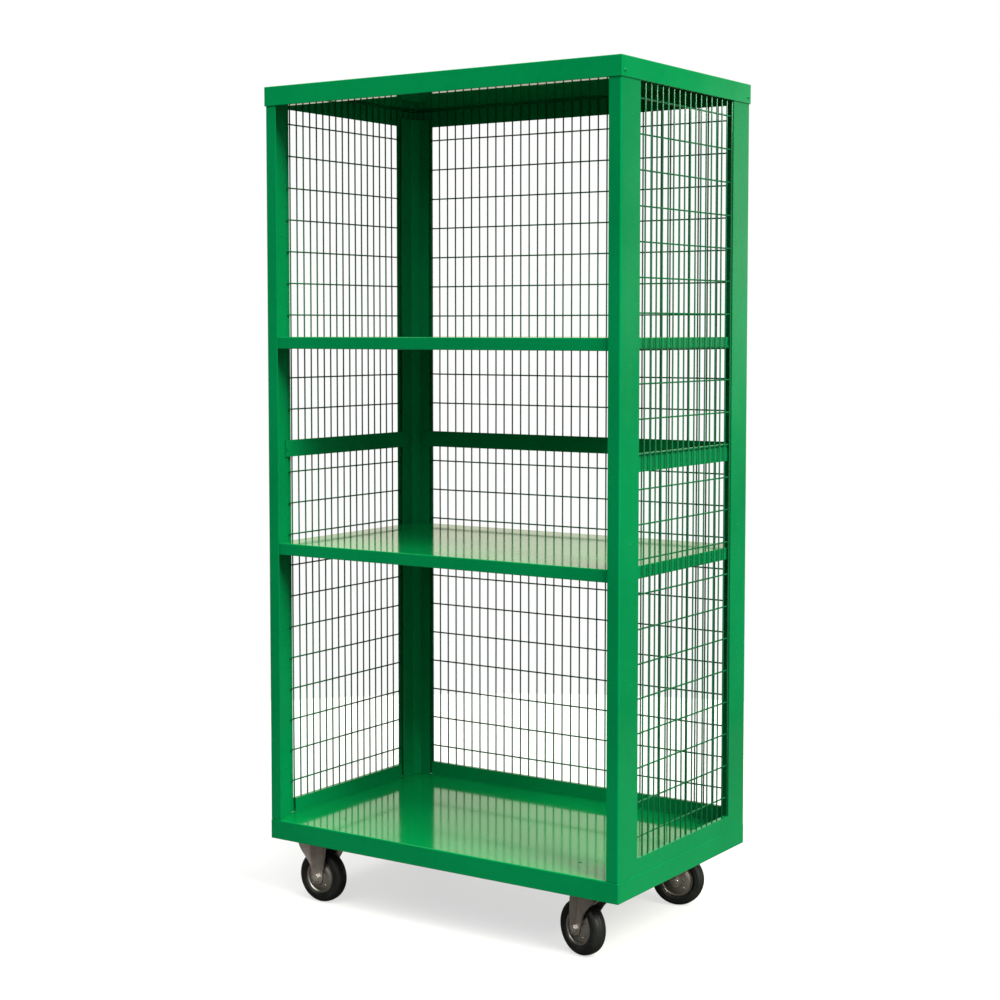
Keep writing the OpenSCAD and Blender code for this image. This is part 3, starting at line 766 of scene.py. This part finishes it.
# plate bolts and nuts of the casters
bm = bmesh.new()
for lo_, hi_ in islands("caster_bolts"):
    c = (lo_ + hi_) / 2
    hex_solid(bm, frame_of((c.x, c.y, hi_.z - 0.0053), (0, 0, 1)), 0.0075, 0.0053, bottom=False)
    r, z0, z1 = 0.004, lo_.z, hi_.z - 0.0053
    prof = [(0.0, z0), (r * 0.8, z0), (r, z0 + 0.0008)]
    z = z0 + 0.0008
    while z < z0 + 0.0064:
        prof += [(r * 0.93, z + 0.0003), (r, z + 0.0006)]
        z += 0.0006
    prof += [(r, z1), (0.0, z1)]
    lathe(bm, prof, frame_of((c.x, c.y, 0), (0, 0, 1)), n=20, closed=False)
piece("plate_bolts", bm, STEEL, nodes=("caster_bolts",))
bm = bmesh.new()
for lo_, hi_ in islands("caster_nuts"):
    c = (lo_ + hi_) / 2
    hex_solid(bm, frame_of((c.x, c.y, lo_.z), (0, 0, 1)), 0.0075, hi_.z - lo_.z, bore=0.0041)
piece("plate_nuts", bm, STEEL, nodes=("caster_nuts",))


# ---------------------------------------------------------------- casters
AXLE_Z = 0.0625
joint = {j["name"]: j for j in frame["joints"]}


def wheel(tag, body):
    """Tyre, pressed hub and bearing of one wheel, turned about its axle."""
    j = next(q for q in frame["joints"] if q["child"] == body)
    lo_, hi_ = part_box("tyre_" + tag)
    c = (lo_ + hi_) / 2
    axis = Vector(j["axis"])
    if axis.y > 0:
        axis = -axis
    m = frame_of(c, axis)
    mm = 0.001
    # tyre: crowned tread with a moulding line, round shoulders, ringed side walls
    half = [(62.5, 0.0), (62.5, 0.35), (62.28, 0.55), (62.22, 3.0), (62.0, 6.0), (61.6, 8.6), (60.9, 11.0), (59.6, 13.4),
            (57.8, 15.5), (55.4, 17.3), (52.8, 18.4), (50.6, 18.9), (50.0, 18.45), (49.4, 18.45), (48.8, 19.0), (46.0, 19.0),
            (43.4, 18.4), (41.2, 17.2), (39.6, 15.6), (38.6, 13.8), (37.4, 12.6)]
    prof = [(r * mm, h * mm) for r, h in half] + [(r * mm, -h * mm) for r, h in reversed(half[1:])]
    bm = bmesh.new()
    lathe(bm, prof, m, n=112)
    piece("tread_" + tag, bm, RUBBER, body, nodes=("tyre_" + tag,), angle=50)
    # hub: rolled rim, shallow valley, dome and boss
    half = [(15.1, 17.8), (15.4, 19.4), (16.2, 19.95), (17.4, 19.8), (18.2, 19.1), (19.2, 18.7), (21.5, 18.5), (25.0, 17.9),
            (28.6, 16.7), (31.4, 15.1), (33.2, 13.9), (34.4, 13.5), (35.4, 13.9), (36.2, 14.9), (37.2, 15.7), (38.4, 15.6),
            (39.0, 14.8), (38.9, 13.9), (37.6, 12.9)]
    prof = [(r * mm, h * mm) for r, h in half] + [(r * mm, -h * mm) for r, h in reversed(half)]
    bm = bmesh.new()
    lathe(bm, prof, m, n=96)
    for side in (1, -1):
        for k in range(4):
            a = math.radians(45 + 90 * k)
            p = m @ Vector((0.0255 * math.cos(a), 0.0255 * math.sin(a), side * 0.0177))
            mr = frame_of(p, (m.to_3x3() @ Vector((0.14 * math.cos(a), 0.14 * math.sin(a), side))))
            lathe(bm, [(0, 0.0012), (0.0012, 0.00105), (0.0021, 0.0005), (0.0024, -0.0004), (0, -0.0004)], mr, n=16, closed=False)
    piece("wheel_disc_" + tag, bm, HUB, body, nodes=("hub_" + tag,), angle=40)
    bm = bmesh.new()
    half = [(8.06, 18.5), (8.4, 19.9), (10.2, 20.0), (10.6, 19.5), (13.6, 19.3), (14.0, 19.7), (14.7, 19.6), (15.0, 19.0)]
    prof = [(r * mm, h * mm) for r, h in half] + [(r * mm, -h * mm) for r, h in reversed(half)]
    lathe(bm, prof, m, n=56)
    piece("race_" + tag, bm, STEEL, body, nodes=("bearing_" + tag,))
    return m


def axle_set(bm_bolt, bm_nut, m, out):
    """Bolt head and shank, and the nut, of one axle. out is +1 when the head is on the axle's +Z side."""
    mm = 0.001
    side = m @ Matrix.Diagonal((1, 1, out, 1))
    # head
    hex_solid(bm_bolt, side @ Matrix.Translation((0, 0, 0.0260)) @ Matrix.Rotation(0.3, 4, "Z"), 0.0092, 0.0064, bottom=False)
    lathe(bm_bolt, [(0, 26.0 * mm), (5 * mm, 26.0 * mm), (5 * mm, -33.5 * mm)] +
          [(q * mm, -(33.5 + 0.4 * k) * mm) for k, q in enumerate([4.55, 5.0] * 2)] +
          [(4.6 * mm, -35.4 * mm), (4.0 * mm, -36.0 * mm), (0, -36.0 * mm)], side, n=32, closed=False)
    # washer and nut
    mn = side @ Matrix.Rotation(math.pi, 4, "X")
    lathe(bm_nut, [(5.1 * mm, 26.02 * mm), (9.9 * mm, 26.02 * mm), (10.0 * mm, 26.2 * mm), (10.0 * mm, 27.0 * mm), (9.8 * mm, 27.2 * mm), (5.1 * mm, 27.2 * mm)], mn, n=48)
    hex_solid(bm_nut, mn @ Matrix.Translation((0, 0, 0.0272)) @ Matrix.Rotation(0.17, 4, "Z"), 0.0092, 0.0066, bore=0.0051)


HUB = zinc("zinc_plate_hub", (0.19, 0.175, 0.155), (0.40, 0.37, 0.33), rough=(0.26, 0.40))
m_fl = wheel("front_left", "wheel_front_left")
m_rl = wheel("rear_left", "wheel_rear_left")
m_fr = wheel("front_right", "wheel_front_right")
m_rr = wheel("rear_right", "wheel_rear_right")

# rigid casters' axles: heads on the outer sides
bb, bn = bmesh.new(), bmesh.new()
axle_set(bb, bn, m_fl, 1)
axle_set(bb, bn, m_rl, -1)
piece("fixed_axle_bolts", bb, STEEL, nodes=("rigid_axle_bolts",))
piece("fixed_axle_nuts", bn, STEEL, nodes=("rigid_axle_nuts",))
for tag, body, m in (("front", "swivel_front", m_fr), ("rear", "swivel_rear", m_rr)):
    bb, bn = bmesh.new(), bmesh.new()
    axle_set(bb, bn, m, 1)
    piece("axle_bolt_" + tag, bb, STEEL, body, nodes=("axle_bolt_%s_right" % tag,))
    piece("axle_nut_" + tag, bn, STEEL, body, nodes=("axle_nut_%s_right" % tag,))


def smooth_interp(pts, z):
    """Monotone cubic through (z, x) points, rising in z."""
    if z <= pts[0][0]:
        return pts[0][1]
    if z >= pts[-1][0]:
        return pts[-1][1]
    n = len(pts)
    d = [(pts[i + 1][1] - pts[i][1]) / (pts[i + 1][0] - pts[i][0]) for i in range(n - 1)]
    g = [d[0]] + [0 if d[i - 1] * d[i] <= 0 else 2 * d[i - 1] * d[i] / (d[i - 1] + d[i]) for i in range(1, n - 1)] + [d[-1]]
    for i in range(n - 1):
        if z <= pts[i + 1][0]:
            h = pts[i + 1][0] - pts[i][0]
            u = (z - pts[i][0]) / h
            return ((2 * u ** 3 - 3 * u ** 2 + 1) * pts[i][1] + (u ** 3 - 2 * u ** 2 + u) * h * g[i]
                    + (-2 * u ** 3 + 3 * u ** 2) * pts[i + 1][1] + (u ** 3 - u ** 2) * h * g[i + 1])


def plate_solid(bm, m, z0, z1, lx=0.0525, ly=0.0425, r=0.008):
    """Caster plate with rounded corners and eased edges."""
    pts = ring_points(rectangle(-lx, lx, -ly, ly), 0.0, r, n=8)
    inner = ring_points(rectangle(-lx, lx, -ly, ly), 0.0005, r - 0.0005, n=8)
    rings = [[bm.verts.new(m @ Vector((p.x, p.y, z))) for p in q] for q, z in
             ((inner, z0), (pts, z0 + 0.0005), (pts, z1 - 0.0005), (inner, z1))]
    n = len(pts)
    for a, b in zip(rings, rings[1:]):
        for k in range(n):
            j = (k + 1) % n
            bm.faces.new((a[k], a[j], b[j], b[k]))
    bm.faces.new(list(reversed(rings[0])))
    bm.faces.new(rings[-1])


def smoothstep(u):
    u = max(0.0, min(1.0, u))
    return u * u * (3 - 2 * u)


def rigid_bracket(tag, node, centre, side):
    """Pressed bracket: a plate and two legs whose edges flare into wings."""
    lo_, hi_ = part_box(node)
    z_plate, z_top = hi_.z - 0.0035, hi_.z
    bm = bmesh.new()
    base = Matrix.Translation((centre.x, centre.y, 0))
    plate_solid(bm, base, z_plate, z_top)
    for s_ in (1, -1):
        m = base @ Matrix.Diagonal((1, s_, 1, 1))
        outer, inner = [], []
        zs = [AXLE_Z - 0.016 * math.cos(math.radians(a)) for a in (4, 16, 30, 44, 58, 74, 90)]
        zs += [AXLE_Z + (z_plate + 0.0004 - AXLE_Z) * k / 24 for k in range(1, 25)]
        for z in zs:
            if z < AXLE_Z:
                w = math.sqrt(max(0.016 ** 2 - (AXLE_Z - z) ** 2, 1e-8))
            else:
                w = smooth_interp([(AXLE_Z, 0.016), (0.085, 0.0168), (0.118, 0.0195), (z_plate, 0.0215)], z)
            wing = 0.0
            if z > 0.080:
                wing = smooth_interp([(0.080, 0.0), (0.090, 0.0022), (0.112, 0.0125), (0.134, 0.0235), (z_plate, 0.0275)], z)
            total = w + wing
            nu = 17
            half_o, half_i = [], []
            x, y, tprev = 0.0, -0.0260, 0.0
            for k in range(nu):
                tt = total * (k / (nu - 1)) ** 0.85 if wing > 0.0005 else total * k / (nu - 1)
                steps = 6
                for q in range(steps):
                    tm = tprev + (tt - tprev) * (q + 0.5) / steps
                    phi = math.radians(46) * smoothstep((tm - w + 0.004) / 0.008) if wing > 0 else 0.0
                    x += (tt - tprev) / steps * math.cos(phi)
                    y -= (tt - tprev) / steps * math.sin(phi)
                tprev = tt
                phi = math.radians(46) * smoothstep((tt - w + 0.004) / 0.008) if wing > 0 else 0.0
                rib = 0.0010 * math.exp(-((x - 0.0010) / 0.0032) ** 2) * smoothstep((z - AXLE_Z - 0.012) / 0.02)
                nx, ny = -math.sin(phi), -math.cos(phi)
                half_o.append((x + nx * rib, y + ny * rib))
                half_i.append((x - nx * 0.003, y - ny * 0.003))
            row_o = [(-a, b, z) for a, b in reversed(half_o[1:])] + [(a, b, z) for a, b in half_o]
            row_i = [(-a, b, z) for a, b in reversed(half_i[1:])] + [(a, b, z) for a, b in half_i]
            outer.append(row_o)
            inner.append(row_i)
        grid_solid(bm, outer, inner, m)
    o = piece("bracket_" + tag, bm, ZINC, nodes=(node,), angle=45)
    bevel_mod(o, 0.0005, 2, 50)


rigid_bracket("front", "rigid_bracket_front", m_fl.translation, 1)
rigid_bracket("rear", "rigid_bracket_rear", m_rl.translation, -1)


def yoke(tag, node, body, wheel_m, pin):
    """Pressed fork: crown with a rolled edge, and two legs folded down from it."""
    lo_, hi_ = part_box(node)
    z_crown = hi_.z
    top = z_crown - 0.0017
    centre = Vector((pin[0], pin[1], 0))
    back = wheel_m.translation - centre
    back.z = 0
    trail = back.length
    ex = -back.normalized()
    ez = Vector((0, 0, 1))
    ey = ez.cross(ex)
    base = Matrix((ex, ey, ez)).transposed().to_4x4()
    base.translation = centre
    mm = 0.001
    bm = bmesh.new()
    lathe(bm, [(6.06 * mm, z_crown - 3.0 * mm), (6.06 * mm, z_crown - 0.3 * mm), (6.4 * mm, z_crown), (20.0 * mm, z_crown), (21.0 * mm, z_crown - 0.25 * mm),
               (27.0 * mm, z_crown - 0.25 * mm), (28.0 * mm, z_crown), (31.6 * mm, z_crown - 0.1 * mm), (32.4 * mm, z_crown - 0.8 * mm),
               (32.5 * mm, z_crown - 1.8 * mm), (32.0 * mm, z_crown - 2.8 * mm), (31.0 * mm, z_crown - 3.0 * mm)], base, n=72)
    left = [(AXLE_Z, -0.0530), (0.100, -0.0533), (0.126, -0.0528), (top, -0.0500)]
    right = [(AXLE_Z, -0.0230), (0.080, -0.0165), (top - 0.043, -0.0100), (top - 0.027, 0.0015), (top - 0.014, 0.0160), (top - 0.0055, 0.0310), (top, 0.0340)]
    for s_ in (1, -1):
        m = base @ Matrix.Diagonal((1, s_, 1, 1))
        outer, inner = [], []
        zs = [AXLE_Z - 0.015 * math.cos(math.radians(a)) for a in (4, 16, 30, 44, 58, 74, 90)]
        zs += [AXLE_Z + (top - 0.004 - AXLE_Z) * k / 26 for k in range(1, 27)]
        rows = [(z, 0.0) for z in zs] + [(top - 0.004, a) for a in (18, 36, 54, 72, 90)] + [(top - 0.004, 91)]
        for z, a in rows:
            zz = z + 0.004 * math.sin(math.radians(min(a, 90)))
            yy = -0.0260 + 0.004 * (1 - math.cos(math.radians(min(a, 90))))
            yi = -0.0230 + 0.004 * (1 - math.cos(math.radians(min(a, 90)))) * 0.25
            zi = min(zz, top - 0.0030 if a > 30 else zz)
            if a == 91:
                yy, yi, zz, zi = -0.0100, -0.0100, top, top - 0.0013
            if z < AXLE_Z:
                w = math.sqrt(max(0.015 ** 2 - (AXLE_Z - z) ** 2, 1e-8))
                xl, xr = -trail - w, -trail + w
            else:
                xl, xr = smooth_interp(left, z), smooth_interp(right, z)
            row_o, row_i = [], []
            nu = 25
            for k in range(nu):
                x = xl + (xr - xl) * k / (nu - 1)
                line = -trail + 0.004 + (z - AXLE_Z) * 0.16
                rib = 0.0013 * math.exp(-((x - line) / 0.0030) ** 2) * smoothstep((z - AXLE_Z - 0.012) / 0.018) * (1 if a == 0 else 0)
                edge = min((x - xl), (xr - x))
                lip = 0.0009 * smoothstep((0.004 - edge) / 0.004) * smoothstep((z - AXLE_Z - 0.014) / 0.02) * (1 if a == 0 else 0)
                row_o.append((x, yy - rib - lip, zz))
                row_i.append((x, yi, zi if a else zz))
            outer.append(row_o)
            inner.append(row_i)
        grid_solid(bm, outer, inner, m)
    o = piece("fork_" + tag, bm, ZINC, body, nodes=(node,), angle=45)
    bevel_mod(o, 0.0004, 2, 55)


for tag, node, body, wm, jn in (("front", "yoke_front", "swivel_front", m_fr, "front_swivel_turn"), ("rear", "yoke_rear", "swivel_rear", m_rr, "rear_swivel_turn")):
    yoke(tag, node, body, wm, joint[jn]["pos_m"])

lo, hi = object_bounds()
